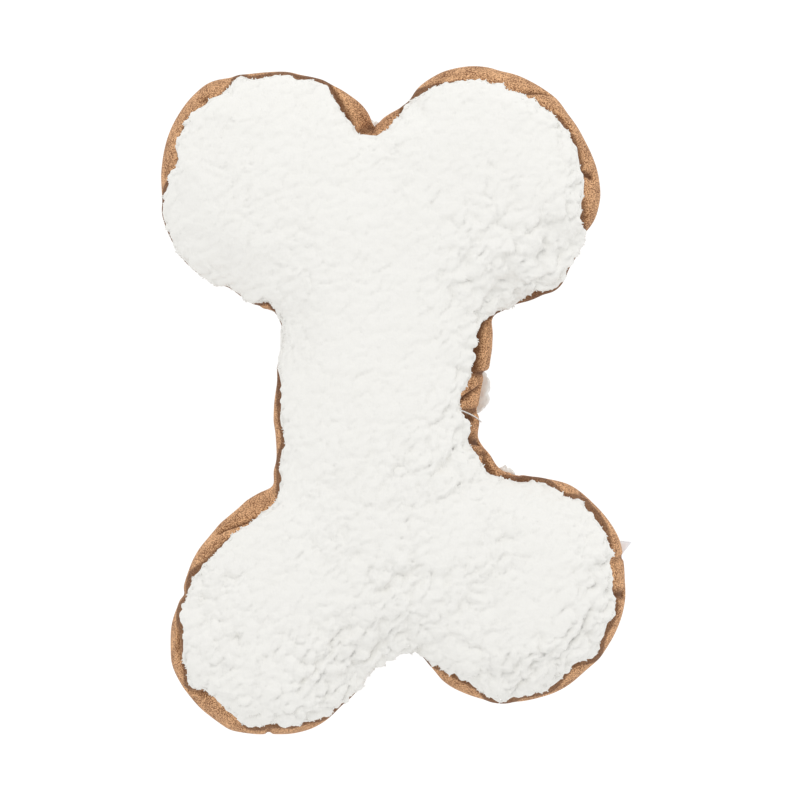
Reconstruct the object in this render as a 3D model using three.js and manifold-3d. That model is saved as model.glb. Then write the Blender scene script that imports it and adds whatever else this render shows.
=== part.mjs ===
// A bone-shaped plush dog toy with a bellows squeaker in its middle, lying on its back panel.
// Millimetres, +Z up: X runs across the bone, Y along it, and the origin is under the middle of the toy.

import * as THREE from "three";
import { mergeVertices } from "three/addons/utils/BufferGeometryUtils.js";
import Module from "manifold-3d";

const wasm = await Module();
wasm.setup();

// Outline of the stuffed toy at its widest line: four round lobes on a straight shaft.
// A lobe's shoulder is the radius of the inside corner between that lobe and the shaft.
const UPPER_RIGHT = { x: 31, y: 75.5, radius: 44.5, shoulder: 8 };
const UPPER_LEFT = { x: -42, y: 78, radius: 41, shoulder: 9 };
const LOWER_LEFT = { x: -39.5, y: -80.5, radius: 39.5, shoulder: 40 };
const LOWER_RIGHT = { x: 44, y: -66, radius: 42, shoulder: 10 };
const SHAFT_LEFT = -40;
const SHAFT_RIGHT = 36.5;
const LEFT_SWELL = 1;
const RIGHT_DRAW = 2;
const UPPER_NOTCH = 3;
const LOWER_NOTCH = 12.5;
const OUTLINE_STEP = 12.5;

// Edge band: one strip of suede round the outline, bulged by the stuffing, its seam allowances turned in.
const BAND_HEIGHT = 36;
const BAND_BULGE = 6.5;
const BAND_WALL = 1.2;
const SEAM_ALLOWANCE = 6;
const JOIN_GAP = 0.4;

// Front and back panels: sherpa fleece crowned over the stuffing, its pile rolling out over the seam.
const CROWN = 13;
const PILE = 6;
const PILE_OVERHANG = 3;
const PILE_ROLL = 2.5;
const RIM = 2.2;
const CROWN_CORE = 7;
const REST_CUT = 0.5;

// Sewing thread and the satin label in the back seam.
const THREAD = 1;
const CLOSING_MARGIN = 5;
const CLOSING_LENGTH = 24;
const CLOSING_STITCHES = 5;
const CLOSING_DEPTH = 5;
const LABEL_ANGLE = 18;
const LABEL_TILT = -25;
const LABEL_WIDTH = 11;
const LABEL_REACH = 3;
const LABEL_PLY = 0.5;

// Squeaker: a blown bellows with a neck, and the reed unit that is pressed into the neck.
const BELLOWS_RADIUS = 21;
const BELLOWS_HEIGHT = 22;
const BELLOWS_FOLDS = 2;
const FOLD_DEPTH = 4.5;
const BELLOWS_WALL = 1;
const NECK_RADIUS = 6.4;
const NECK_LENGTH = 6;
const SLEEVE_WALL = 1;
const SLEEVE_FLANGE = 1.2;
const REED_LENGTH = 12;
const REED_WIDTH = 4;
const REED_THICKNESS = 0.25;
const REED_CLAMPED = 3.5;
const REED_STANDOFF = 0.9;

// How far the front panel goes down when the toy is squeezed, and the room between neighbouring pieces.
const SQUEEZE = 12;
const CLEARANCE = 0.3;

const sherpa = new THREE.MeshStandardMaterial({ color: 0xf2f0ec, roughness: 0.95, metalness: 0 });
const suede = new THREE.MeshStandardMaterial({ color: 0xb68a66, roughness: 0.9, metalness: 0 });
const cotton = new THREE.MeshStandardMaterial({ color: 0xefe9e0, roughness: 0.8, metalness: 0 });
const satin = new THREE.MeshStandardMaterial({ color: 0xecebee, roughness: 0.45, metalness: 0 });
const fibrefill = new THREE.MeshStandardMaterial({ color: 0xf7f7f5, roughness: 1, metalness: 0 });
const polythene = new THREE.MeshStandardMaterial({ color: 0xe9ecee, roughness: 0.35, metalness: 0 });
const hardPlastic = new THREE.MeshStandardMaterial({ color: 0xf4f1e6, roughness: 0.4, metalness: 0 });
const reedFilm = new THREE.MeshStandardMaterial({ color: 0xd8d2bf, roughness: 0.25, metalness: 0 });

// Solids

const WELD = 1e-4;

// A closed geometry as a solid that can be joined and cut.
function solidOf(geometry) {
  const bare = geometry.clone();
  bare.deleteAttribute("normal");
  bare.deleteAttribute("uv");
  const merged = mergeVertices(bare, WELD);
  const vertProperties = new Float32Array(merged.attributes.position.array);
  const triVerts = new Uint32Array(merged.index.array);
  return new wasm.Manifold(new wasm.Mesh({ numProp: 3, vertProperties, triVerts }));
}

// A solid as a geometry for a mesh.
function geometryOf(solid) {
  const made = solid.getMesh();
  const geometry = new THREE.BufferGeometry();
  geometry.setAttribute("position", new THREE.BufferAttribute(made.vertProperties, 3));
  geometry.setIndex(new THREE.BufferAttribute(made.triVerts, 1));
  geometry.computeVertexNormals();
  return geometry;
}

// A box between two corners.
function block(low, high) {
  const size = high.clone().sub(low);
  const middle = low.clone().add(high).multiplyScalar(0.5);
  return new THREE.BoxGeometry(size.x, size.y, size.z).translate(middle.x, middle.y, middle.z);
}

// A profile of [radius, height] points turned about the Z axis.
function turned(profile, segments) {
  const points = profile.map(([radius, height]) => new THREE.Vector2(radius, height));
  return new THREE.LatheGeometry(points, segments).rotateX(Math.PI / 2);
}

function piece(name, geometry, material) {
  const mesh = new THREE.Mesh(geometry, material.clone());
  mesh.name = name;
  return mesh;
}

// Outline

const FULL_TURN = 2 * Math.PI;
const ARC_STEPS_LEAST = 2;

const angleTo = (from, to) => Math.atan2(to.y - from.y, to.x - from.x);
const turnBetween = (from, to) => (((to - from) % FULL_TURN) + FULL_TURN) % FULL_TURN;

// Centre of the inside corner between two lobes, on the right of the way from one to the other.
function notchBetween(one, other, radius) {
  const span = Math.hypot(other.x - one.x, other.y - one.y);
  const fromOne = one.radius + radius;
  const fromOther = other.radius + radius;
  const along = (span ** 2 + fromOne ** 2 - fromOther ** 2) / (2 * span);
  const aside = Math.sqrt(fromOne ** 2 - along ** 2);
  const unit = { x: (other.x - one.x) / span, y: (other.y - one.y) / span };
  return {
    x: one.x + along * unit.x + aside * unit.y,
    y: one.y + along * unit.y - aside * unit.x,
    radius,
  };
}

// Centre of the inside corner between a lobe and one side of the shaft.
function shoulderOf(lobe, sideX, outward) {
  const x = sideX + outward * lobe.shoulder;
  const rise = Math.sqrt((lobe.radius + lobe.shoulder) ** 2 - (x - lobe.x) ** 2);
  return { x, y: lobe.y - Math.sign(lobe.y) * rise, radius: lobe.shoulder };
}

const upperNotch = notchBetween(UPPER_RIGHT, UPPER_LEFT, UPPER_NOTCH);
const lowerNotch = notchBetween(LOWER_LEFT, LOWER_RIGHT, LOWER_NOTCH);
const upperRightShoulder = shoulderOf(UPPER_RIGHT, SHAFT_RIGHT, 1);
const upperLeftShoulder = shoulderOf(UPPER_LEFT, SHAFT_LEFT, -1);
const lowerLeftShoulder = shoulderOf(LOWER_LEFT, SHAFT_LEFT, -1);
const lowerRightShoulder = shoulderOf(LOWER_RIGHT, SHAFT_RIGHT, 1);

// Where the shaft's straight sides end, above and below.
const shaftTop = (upperLeftShoulder.y + upperRightShoulder.y) / 2;
const shaftBottom = (lowerLeftShoulder.y + lowerRightShoulder.y) / 2;

function stepsAlong(length) {
  return Math.max(ARC_STEPS_LEAST, Math.round(length / OUTLINE_STEP));
}

// An arc of the outline. A lobe turns left on the way round, and an inside corner turns right.
function lobeArc(lobe, before, after) {
  const from = angleTo(lobe, before);
  const sweep = turnBetween(from, angleTo(lobe, after));
  return { centre: lobe, from, sweep, grows: -1, steps: stepsAlong(sweep * lobe.radius) };
}

function cornerArc(centre, from, to) {
  const sweep = -turnBetween(to, from);
  return { centre, from, sweep, grows: 1, steps: stepsAlong(-sweep * (centre.radius + BAND_BULGE)) };
}

// A side of the shaft, swelled or drawn in along X at its middle.
function shaftSide(upper, lower, bow) {
  const length = upper.y - lower.y;
  return { straight: true, bow, length, steps: stepsAlong(length) };
}

const leftSide = shaftSide(upperLeftShoulder, lowerLeftShoulder, -LEFT_SWELL);
const rightSide = shaftSide(upperRightShoulder, lowerRightShoulder, -RIGHT_DRAW);

const stretches = [
  cornerArc(upperRightShoulder, Math.PI, angleTo(upperRightShoulder, UPPER_RIGHT)),
  lobeArc(UPPER_RIGHT, upperRightShoulder, upperNotch),
  cornerArc(upperNotch, angleTo(upperNotch, UPPER_RIGHT), angleTo(upperNotch, UPPER_LEFT)),
  lobeArc(UPPER_LEFT, upperNotch, upperLeftShoulder),
  cornerArc(upperLeftShoulder, angleTo(upperLeftShoulder, UPPER_LEFT), 0),
  leftSide,
  cornerArc(lowerLeftShoulder, 0, angleTo(lowerLeftShoulder, LOWER_LEFT)),
  lobeArc(LOWER_LEFT, lowerLeftShoulder, lowerNotch),
  cornerArc(lowerNotch, angleTo(lowerNotch, LOWER_LEFT), angleTo(lowerNotch, LOWER_RIGHT)),
  lobeArc(LOWER_RIGHT, lowerNotch, lowerRightShoulder),
  cornerArc(lowerRightShoulder, angleTo(lowerRightShoulder, LOWER_RIGHT), Math.PI),
  rightSide,
];

function pointOnArc(arc, share, inset) {
  const angle = arc.from + share * arc.sweep;
  const radius = arc.centre.radius + arc.grows * inset;
  return new THREE.Vector2(
    arc.centre.x + radius * Math.cos(angle),
    arc.centre.y + radius * Math.sin(angle),
  );
}

function neighbourOf(stretch, way) {
  return stretches[(stretches.indexOf(stretch) + way + stretches.length) % stretches.length];
}

function pointOn(stretch, share, inset) {
  if (!stretch.straight) return pointOnArc(stretch, share, inset);
  const start = pointOnArc(neighbourOf(stretch, -1), 1, inset);
  const end = pointOnArc(neighbourOf(stretch, 1), 0, inset);
  const point = start.lerp(end, share);
  point.x += stretch.bow * Math.sin(Math.PI * share);
  return point;
}

// The outline drawn in by an inset, as points in turn to the left.
function outline(inset) {
  return stretches.flatMap((stretch) =>
    Array.from({ length: stretch.steps }, (_, step) => pointOn(stretch, step / stretch.steps, inset)),
  );
}

// Triangles across a ring, facing up.
function capOf(ring) {
  return THREE.ShapeUtils.triangulateShape(ring, []).map(([a, b, c]) => {
    const area = THREE.ShapeUtils.area([ring[a], ring[b], ring[c]]);
    return area > 0 ? [a, b, c] : [a, c, b];
  });
}

// A skin through rings of the outline, one for each [inset, height] of the profile.
// An open profile is closed by a cap on its first and last ring, and a loop closes on itself.
function loft(profile, loop = false) {
  const positions = [];
  const triangles = [];
  const rings = profile.map(([inset]) => outline(inset));
  const count = rings[0].length;
  rings.forEach((ring, index) => {
    ring.forEach((point) => positions.push(point.x, point.y, profile[index][1]));
  });
  const bands = loop ? rings.length : rings.length - 1;
  for (let band = 0; band < bands; band += 1) {
    const here = band * count;
    const above = ((band + 1) % rings.length) * count;
    for (let i = 0; i < count; i += 1) {
      const next = (i + 1) % count;
      triangles.push(here + i, here + next, above + next, here + i, above + next, above + i);
    }
  }
  if (!loop) {
    const top = (rings.length - 1) * count;
    capOf(rings[0]).forEach(([a, b, c]) => triangles.push(a, c, b));
    capOf(rings[rings.length - 1]).forEach(([a, b, c]) => triangles.push(top + a, top + b, top + c));
  }
  const geometry = new THREE.BufferGeometry();
  geometry.setAttribute("position", new THREE.Float32BufferAttribute(positions, 3));
  geometry.setIndex(triangles);
  geometry.computeVertexNormals();
  return geometry;
}

// Section through the cover, as insets from the outline and heights

const QUARTER = Math.PI / 2;
const CROWN_STEPS = 5;
const LINING_STEPS = 3;

const shaftHalf = (SHAFT_RIGHT - SHAFT_LEFT) / 2;
const lobes = [UPPER_RIGHT, UPPER_LEFT, LOWER_LEFT, LOWER_RIGHT];
const crownInset = Math.min(shaftHalf, ...lobes.map((lobe) => lobe.radius)) - CROWN_CORE;
const rollInset = BAND_BULGE - PILE_OVERHANG;
const hemInset = BAND_BULGE + SEAM_ALLOWANCE;
const backSeam = CROWN - REST_CUT;
const frontSeam = backSeam + BAND_HEIGHT;
const middle = (backSeam + frontSeam) / 2;
const mirrored = (profile) => profile.map(([inset, z]) => [inset, 2 * middle - z]).reverse();

// A quarter of an ellipse from a rim up to the crown, from one share of the quarter to another.
function crownCurve(startInset, startHeight, topHeight, fromShare, toShare, steps) {
  return Array.from({ length: steps + 1 }, (_, step) => {
    const angle = QUARTER * (fromShare + ((toShare - fromShare) * step) / steps);
    return [
      startInset + (crownInset - startInset) * (1 - Math.cos(angle)),
      startHeight + (topHeight - startHeight) * Math.sin(angle),
    ];
  });
}

// Front panel: lining side first, then the rim on the seam, then the pile side up to the crown.
function panelProfile(crownShare) {
  const lining = crownCurve(hemInset, RIM, CROWN - PILE, 1, 0, LINING_STEPS);
  const seam = [
    [hemInset, CLEARANCE],
    [(BAND_BULGE + rollInset) / 2, CLEARANCE],
  ];
  const pile = crownCurve(rollInset, PILE_ROLL, CROWN, 0, crownShare, CROWN_STEPS);
  return [...lining, ...seam, ...pile].map(([inset, height]) => [inset, frontSeam + height]);
}

// The back panel's crown stops short, at the flat that the toy lies on.
const restShare = Math.asin((CROWN - REST_CUT - PILE_ROLL) / (CROWN - PILE_ROLL)) / QUARTER;
const frontPanel = loft(panelProfile(1));
const backPanel = loft(mirrored(panelProfile(restShare)));

// Edge band: an arc that bulges out between the seams, and two hems turned in under the panels.
const WALL_STEPS = 6;
const bandRadius = ((BAND_HEIGHT / 2) ** 2 + BAND_BULGE ** 2) / (2 * BAND_BULGE);

// Points on the band's arc, at a depth under its face, from one height to another.
function bandCurve(depth, fromHeight, toHeight, steps) {
  const radius = bandRadius - depth;
  const from = Math.asin((fromHeight - middle) / radius);
  const to = Math.asin((toHeight - middle) / radius);
  return Array.from({ length: steps + 1 }, (_, step) => {
    const angle = from + ((to - from) * step) / steps;
    return [bandRadius - radius * Math.cos(angle), middle + radius * Math.sin(angle)];
  });
}

const bandProfile = [
  [hemInset, backSeam],
  ...bandCurve(0, backSeam, frontSeam, WALL_STEPS),
  [hemInset, frontSeam],
  [hemInset, frontSeam - BAND_WALL],
  ...bandCurve(BAND_WALL, frontSeam - BAND_WALL, backSeam + BAND_WALL, WALL_STEPS),
  [hemInset, backSeam + BAND_WALL],
];

// The strip's two ends meet in the upper notch, with a slit between them.
const joinArc = stretches.find((stretch) => stretch.centre === upperNotch);
const joinAngle = joinArc.from + joinArc.sweep / 2;
const pointAtJoin = (inset) => pointOn(joinArc, 1 / 2, inset);
const joinPoint = pointAtJoin(0);
const joinSlit = new THREE.BoxGeometry(2 * hemInset + BAND_BULGE, JOIN_GAP, 2 * BAND_HEIGHT)
  .rotateZ(joinAngle)
  .translate(joinPoint.x, joinPoint.y, middle);
const edgeBand = geometryOf(solidOf(loft(bandProfile, true)).subtract(solidOf(joinSlit)));

// Threads

const THREAD_SIDES = 5;
const STITCH_STEPS = 3;
const threadRadius = THREAD / 2;

// A round thread section, for a loop along the outline.
function threadSection(inset, height) {
  return Array.from({ length: THREAD_SIDES }, (_, side) => {
    const angle = (FULL_TURN * side) / THREAD_SIDES;
    return [inset - threadRadius * Math.cos(angle), height + threadRadius * Math.sin(angle)];
  });
}

// Each seam's stitches run under the band's hem, halfway across the allowance.
const stitchInset = BAND_BULGE + SEAM_ALLOWANCE / 2;
const stitchDepth = BAND_WALL + CLEARANCE + threadRadius;
const frontSeamThread = loft(threadSection(stitchInset, frontSeam - stitchDepth), true);
const backSeamThread = loft(threadSection(stitchInset, backSeam + stitchDepth), true);

// A thread along a curve.
function threadAlong(points) {
  const section = new THREE.Shape();
  for (let side = 0; side < THREAD_SIDES; side += 1) {
    const angle = (FULL_TURN * side) / THREAD_SIDES;
    const corner = [threadRadius * Math.cos(angle), threadRadius * Math.sin(angle)];
    if (side === 0) section.moveTo(...corner);
    else section.lineTo(...corner);
  }
  const extrudePath = new THREE.CatmullRomCurve3(points);
  const steps = STITCH_STEPS * (points.length - 1);
  return new THREE.ExtrudeGeometry(section, { steps, bevelEnabled: false, extrudePath });
}

const insetAtBand = (depth, height) => bandCurve(depth, height, height, 1)[0][0];

// The band's join is stitched behind the slit, from hem to hem.
const joinHeights = [backSeam + stitchDepth + THREAD, middle, frontSeam - stitchDepth - THREAD];
const joinThread = threadAlong(
  joinHeights.map((height) => {
    const point = pointAtJoin(insetAtBand(stitchDepth, height));
    return new THREE.Vector3(point.x, point.y, height);
  }),
);
const joinRoomInset = insetAtBand(stitchDepth, joinHeights[0]);
const joinRoomPoint = pointAtJoin(joinRoomInset);
const joinRoom = new THREE.BoxGeometry(2 * joinRoomInset, THREAD + 2 * CLEARANCE, BAND_HEIGHT)
  .rotateZ(joinAngle)
  .translate(joinRoomPoint.x, joinRoomPoint.y, middle);

// The turning hole in the right side of the shaft is closed by hand, zigzag below the front seam.
const closingRise = CLOSING_LENGTH / CLOSING_STITCHES / 2;
const closingTop = frontSeam - THREAD - CLEARANCE;
const closingStitch = threadAlong(
  Array.from({ length: 2 * CLOSING_STITCHES + 1 }, (_, turn) => {
    const height = closingTop - (turn % 2) * CLOSING_DEPTH;
    const standoff = threadRadius + 2 * CLEARANCE;
    const share = (CLOSING_MARGIN + turn * closingRise) / rightSide.length;
    const point = pointOn(rightSide, share, insetAtBand(0, height) - standoff);
    return new THREE.Vector3(point.x, point.y, height);
  }),
);

// A folded satin ribbon that comes out of the back seam on the lower right lobe.
const labelHeight = 2 * LABEL_PLY + CLEARANCE;
const labelFoot = LOWER_RIGHT.radius - insetAtBand(0, backSeam + labelHeight + CLEARANCE) + CLEARANCE;
const labelTurn = THREE.MathUtils.degToRad(LABEL_ANGLE);
const labelTilt = THREE.MathUtils.degToRad(LABEL_TILT);
const labelAcross = (LABEL_WIDTH / 2) * Math.cos(labelTilt);
const labelBack = (LABEL_WIDTH / 2) * Math.abs(Math.sin(labelTilt));
const labelStart = labelBack + Math.sqrt(labelFoot ** 2 - labelAcross ** 2);
const labelLength = LOWER_RIGHT.radius + LABEL_REACH - labelStart;
const ribbon = new THREE.Shape();
ribbon.moveTo(0, 0);
ribbon.lineTo(labelLength, 0);
ribbon.lineTo(labelLength, labelHeight);
ribbon.lineTo(0, labelHeight);
ribbon.lineTo(0, labelHeight - LABEL_PLY);
ribbon.lineTo(labelLength - LABEL_PLY, labelHeight - LABEL_PLY);
ribbon.lineTo(labelLength - LABEL_PLY, LABEL_PLY);
ribbon.lineTo(0, LABEL_PLY);
const careLabel = piece(
  "care_label",
  new THREE.ExtrudeGeometry(ribbon, { depth: LABEL_WIDTH, bevelEnabled: false })
    .translate(0, 0, -LABEL_WIDTH / 2)
    .rotateX(QUARTER),
  satin,
);
careLabel.rotation.z = labelTurn + labelTilt;
careLabel.position.set(
  LOWER_RIGHT.x + labelStart * Math.cos(labelTurn),
  LOWER_RIGHT.y + labelStart * Math.sin(labelTurn),
  backSeam,
);

// Squeaker, in its own group: Z is the bellows axis and 0 is the top of the neck

const TURN_SEGMENTS = 24;
const FOLD_STEPS = 6;
const squeakerX = (SHAFT_LEFT + SHAFT_RIGHT) / 2;
const squeakerY = (shaftTop + shaftBottom) / 2;
const squeakerZ = middle - BELLOWS_HEIGHT / 2;

// The bellows wall from its base to its top, at a depth under its face.
function bellowsWall(depth) {
  const steps = BELLOWS_FOLDS * FOLD_STEPS;
  return Array.from({ length: steps + 1 }, (_, step) => {
    const share = step / steps;
    const crest = (1 - Math.cos(FULL_TURN * BELLOWS_FOLDS * share)) / 2;
    return [
      BELLOWS_RADIUS - FOLD_DEPTH * (1 - crest) - depth,
      depth + share * (BELLOWS_HEIGHT - 2 * depth),
    ];
  });
}

const neckBore = NECK_RADIUS - BELLOWS_WALL;
const bellows = turned(
  [
    [0, BELLOWS_HEIGHT - BELLOWS_WALL],
    ...bellowsWall(BELLOWS_WALL).reverse(),
    [neckBore, BELLOWS_WALL],
    [neckBore, -NECK_LENGTH],
    [NECK_RADIUS, -NECK_LENGTH],
    [NECK_RADIUS, 0],
    ...bellowsWall(0),
    [0, BELLOWS_HEIGHT],
  ],
  TURN_SEGMENTS,
);

// The sleeve is a tube in the neck, with a flange that stops it at the neck's mouth.
const sleeveRadius = neckBore - CLEARANCE;
const sleeveBore = sleeveRadius - SLEEVE_WALL;
const flangeTop = -NECK_LENGTH - CLEARANCE;
const flangeBottom = flangeTop - SLEEVE_FLANGE;
const reedSleeve = turned(
  [
    [sleeveBore, 0],
    [sleeveBore, flangeBottom],
    [NECK_RADIUS, flangeBottom],
    [NECK_RADIUS, flangeTop],
    [sleeveRadius, flangeTop],
    [sleeveRadius, 0],
    [sleeveBore, 0],
  ],
  TURN_SEGMENTS,
);

// Trough and wedge hold the reed's foot between them, and the trough falls away under its free end.
const clampHalf = REED_THICKNESS / 2 + CLEARANCE;
const clampWidth = REED_WIDTH + CLEARANCE;
const clampDepth = Math.sqrt((sleeveBore - CLEARANCE) ** 2 - (clampWidth / 2) ** 2);
const reedFoot = flangeBottom;
const reedHinge = reedFoot + REED_CLAMPED;
const reedTip = reedFoot + REED_LENGTH;

// A side view of [across, height] points, as wide as the reed's clamp.
function clampBlock(points) {
  const side = new THREE.Shape(points.map(([across, height]) => new THREE.Vector2(across, height)));
  return new THREE.ExtrudeGeometry(side, { depth: clampWidth, bevelEnabled: false })
    .translate(0, 0, -clampWidth / 2)
    .rotateY(-QUARTER)
    .rotateX(QUARTER)
    .rotateZ(QUARTER);
}

const reedTrough = clampBlock([
  [-clampDepth, reedFoot],
  [-clampHalf, reedFoot],
  [-clampHalf, reedHinge],
  [-clampHalf - REED_STANDOFF, reedTip],
  [-clampDepth, reedTip],
]);
const reedWedge = clampBlock([
  [clampHalf, reedFoot],
  [clampDepth, reedFoot],
  [clampDepth, reedHinge],
  [clampHalf, reedHinge],
]);
const reedStrip = new THREE.BoxGeometry(REED_THICKNESS, REED_WIDTH, REED_LENGTH);

const squeaker = new THREE.Group();
squeaker.position.set(squeakerX, squeakerY, squeakerZ);
squeaker.add(
  piece("squeaker_bellows", bellows, polythene),
  piece("reed_sleeve", reedSleeve, hardPlastic),
  piece("reed_trough", reedTrough, hardPlastic),
  piece("reed_wedge", reedWedge, hardPlastic),
);
const reed = piece("reed_strip", reedStrip, reedFilm);
reed.position.z = (reedFoot + reedTip) / 2;
squeaker.add(reed);

// Stuffing: wads of fibrefill that fill the cover, with a pocket for the squeaker between front and back

const WALL_FILL_STEPS = 3;
const half = CLEARANCE / 2;
const ledge = BAND_WALL + 2 * CLEARANCE + THREAD;
const wadLining = crownCurve(hemInset, RIM, CROWN - PILE, 1, 0, LINING_STEPS);

// A layer of wads from the back panel's lining up to a height.
function wadProfile(top) {
  return [
    ...wadLining.map(([inset, height]) => [inset + CLEARANCE, backSeam - height + CLEARANCE]),
    [hemInset + CLEARANCE, backSeam + ledge],
    ...bandCurve(BAND_WALL + CLEARANCE, backSeam + ledge, top, WALL_FILL_STEPS),
  ];
}

// The layers part below the reach of the front seam when the toy is squeezed.
const wadSplit = frontSeam - ledge - SQUEEZE;
const wadLayers = {
  back: wadProfile(wadSplit - half),
  front: mirrored(wadProfile(2 * middle - wadSplit - half)),
};

const pocket = solidOf(
  turned(
    [
      [0, flangeBottom - CLEARANCE],
      [NECK_RADIUS + CLEARANCE, flangeBottom - CLEARANCE],
      [NECK_RADIUS + CLEARANCE, -CLEARANCE],
      [BELLOWS_RADIUS + CLEARANCE, -CLEARANCE],
      [BELLOWS_RADIUS + CLEARANCE, BELLOWS_HEIGHT + CLEARANCE],
      [0, BELLOWS_HEIGHT + CLEARANCE],
    ],
    TURN_SEGMENTS,
  ).translate(squeakerX, squeakerY, squeakerZ),
);

// The wads part where the shaft's straight sides end, and at the two notches.
const reach = new THREE.Box2().setFromPoints(outline(0));
const wadPlaces = {
  shaft: [reach.min.x, shaftBottom + half, reach.max.x, shaftTop - half],
  upper_right: [upperNotch.x + half, shaftTop + half, reach.max.x, reach.max.y],
  upper_left: [reach.min.x, shaftTop + half, upperNotch.x - half, reach.max.y],
  lower_left: [reach.min.x, reach.min.y, lowerNotch.x - half, shaftBottom - half],
  lower_right: [lowerNotch.x + half, reach.min.y, reach.max.x, shaftBottom - half],
};

const stuffing = new THREE.Group();
for (const [layer, profile] of Object.entries(wadLayers)) {
  const whole = solidOf(loft(profile)).subtract(pocket).subtract(solidOf(joinRoom));
  for (const [place, [left, low, right, high]] of Object.entries(wadPlaces)) {
    const bottom = new THREE.Vector3(left, low, 0);
    const top = new THREE.Vector3(right, high, frontSeam + CROWN);
    const wad = whole.intersect(solidOf(block(bottom, top)));
    stuffing.add(piece(`${layer}_wad_${place}`, geometryOf(wad), fibrefill));
  }
}

// Cover

const cover = new THREE.Group();
cover.add(
  piece("back_panel", backPanel, sherpa),
  piece("edge_band", edgeBand, suede),
  piece("front_panel", frontPanel, sherpa),
  piece("back_seam_thread", backSeamThread, cotton),
  piece("front_seam_thread", frontSeamThread, cotton),
  piece("band_join_thread", joinThread, cotton),
  piece("closing_stitch", closingStitch, cotton),
  careLabel,
);

// The toy stands with the middle of its box over the origin.
const toy = new THREE.Group();
toy.add(cover, stuffing, squeaker);
const extent = new THREE.Box3().setFromObject(toy);
toy.position.set(-(extent.min.x + extent.max.x) / 2, -(extent.min.y + extent.max.y) / 2, -extent.min.z);

export default new THREE.Group().add(toy);
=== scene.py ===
import math
import random

import bmesh
import bpy
import numpy as np
from mathutils import Matrix, Vector, kdtree, noise
from mathutils.geometry import interpolate_bezier


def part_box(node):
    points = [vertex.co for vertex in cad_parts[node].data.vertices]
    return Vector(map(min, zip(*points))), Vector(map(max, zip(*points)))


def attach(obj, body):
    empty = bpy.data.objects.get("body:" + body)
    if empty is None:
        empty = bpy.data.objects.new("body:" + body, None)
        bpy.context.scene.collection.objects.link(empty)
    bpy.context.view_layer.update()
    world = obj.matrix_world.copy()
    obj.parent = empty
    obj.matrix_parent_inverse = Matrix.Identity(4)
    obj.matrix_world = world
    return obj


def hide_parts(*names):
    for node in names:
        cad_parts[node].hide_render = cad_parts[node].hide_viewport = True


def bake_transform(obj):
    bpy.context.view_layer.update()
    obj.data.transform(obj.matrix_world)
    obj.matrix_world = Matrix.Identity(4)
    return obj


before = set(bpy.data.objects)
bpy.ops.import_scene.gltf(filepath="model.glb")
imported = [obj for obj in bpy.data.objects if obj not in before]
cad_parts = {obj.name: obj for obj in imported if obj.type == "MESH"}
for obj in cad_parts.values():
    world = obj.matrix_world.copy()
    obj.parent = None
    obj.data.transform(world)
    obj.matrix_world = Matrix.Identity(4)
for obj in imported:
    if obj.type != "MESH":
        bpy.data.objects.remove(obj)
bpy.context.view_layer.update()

MM = 0.001

# Table, light and camera
# The toy lies on a white light table and is seen from straight above, as goods are for a catalogue.
# A broad soft box hangs beyond its upper end, and white walls give the rest of the light.

PICTURE_WIDTH = 288 * MM
PICTURE_MIDDLE = Vector((2.4 * MM, 0, 30.5 * MM))
LENS = 200
WHITE = (1, 1, 1, 1)
TABLE_SIZE = 3.0
TABLE_GREY = (0.2, 0.2, 0.2, 1)
TABLE_GLOW = 0.9
SOFT_BOX_SIZE = 0.9
SOFT_BOX_PLACE = Vector((0.15, 0.9, 1.1))
SOFT_BOX_POWER = 3.4
WALL_LIGHT = 0.93


class Paint:
    """An output of a material's nodes. Arithmetic on it adds Math nodes."""

    def __init__(self, tree, socket=None):
        self.tree = tree
        self.socket = socket

    def feed(self, node, inputs):
        """Gives a node's inputs their values or links."""
        for name, value in inputs.items():
            if isinstance(value, Paint):
                self.tree.links.new(value.socket, node.inputs[name])
            else:
                node.inputs[name].default_value = value

    def node(self, kind, settings, inputs, output=0):
        """Adds a node of a kind, sets it up, feeds it and returns one of its outputs."""
        made = self.tree.nodes.new(kind)
        for name, value in settings.items():
            setattr(made, name, value)
        self.feed(made, inputs)
        return Paint(self.tree, made.outputs[output])

    def mixed(self, share, first, second):
        """A colour part of the way from one to another."""
        return self.node("ShaderNodeMix", {"data_type": "RGBA"}, {0: share, 6: first, 7: second}, 2)

    def maths(self, operation, *values):
        """The result of a Math node."""
        return self.node("ShaderNodeMath", {"operation": operation}, dict(enumerate(values)))

    def __add__(self, other):
        return self.maths("ADD", self, other)

    __radd__ = __add__

    def __sub__(self, other):
        return self.maths("SUBTRACT", self, other)

    def __rsub__(self, other):
        return self.maths("SUBTRACT", other, self)

    def __mul__(self, other):
        return self.maths("MULTIPLY", self, other)

    __rmul__ = __mul__


def finish_of(name, dress):
    """A material whose shader inputs come from a function of its paint."""
    made = bpy.data.materials.new(name)
    made.use_nodes = True
    paint = Paint(made.node_tree)
    paint.feed(made.node_tree.nodes["Principled BSDF"], dress(paint))
    return made


def table_top(paint):
    """A dull top, lit white from below."""
    return {
        "Base Color": TABLE_GREY,
        "Roughness": 0.7,
        "Specular IOR Level": 0.1,
        "Emission Color": WHITE,
        "Emission Strength": TABLE_GLOW,
    }


def new_piece(name, shape):
    """An object made from a bmesh, which is used up."""
    mesh = bpy.data.meshes.new(name)
    shape.to_mesh(mesh)
    shape.free()
    piece = bpy.data.objects.new(name, mesh)
    bpy.context.scene.collection.objects.link(piece)
    return piece


table_shape = bmesh.new()
bmesh.ops.create_grid(table_shape, x_segments=1, y_segments=1, size=TABLE_SIZE / 2)
table = new_piece("table", table_shape)
table.data.materials.append(finish_of("table_top", table_top))

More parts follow.
